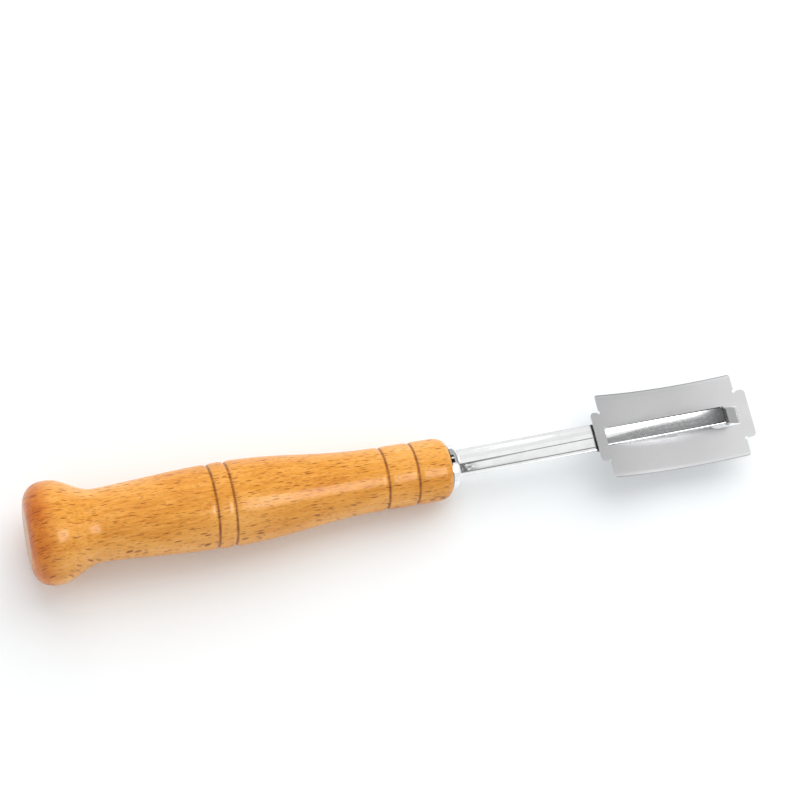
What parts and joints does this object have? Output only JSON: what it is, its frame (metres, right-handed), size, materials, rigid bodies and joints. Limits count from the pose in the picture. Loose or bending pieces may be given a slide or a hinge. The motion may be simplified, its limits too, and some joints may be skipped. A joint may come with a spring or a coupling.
{
  "type": "bread lame",
  "caption": "Bread scoring lame: turned wooden handle, chromed ferrule and a formed steel holder whose tongue carries a bent double-edged razor blade.",
  "frame": {"origin": "centre of the flat on the butt of the handle", "axes": "+X along the handle from the butt to the blade, +Z out of the hollow face of the blade, Y across the blade from edge to edge"},
  "size_m": [0.185, 0.025, 0.0251],
  "materials": {
    "beech": "clear gloss lacquer over beech",
    "ferrule_chrome": "bright chrome plate",
    "holder_chrome": "bright nickel-chrome plate",
    "blade_steel": "satin stainless strip with ground edges"
  },
  "bodies": {
    "root": {"handle": "beech", "ferrule": "ferrule_chrome", "blade_holder": "holder_chrome", "blade": "blade_steel"}
  },
  "joints": []
}
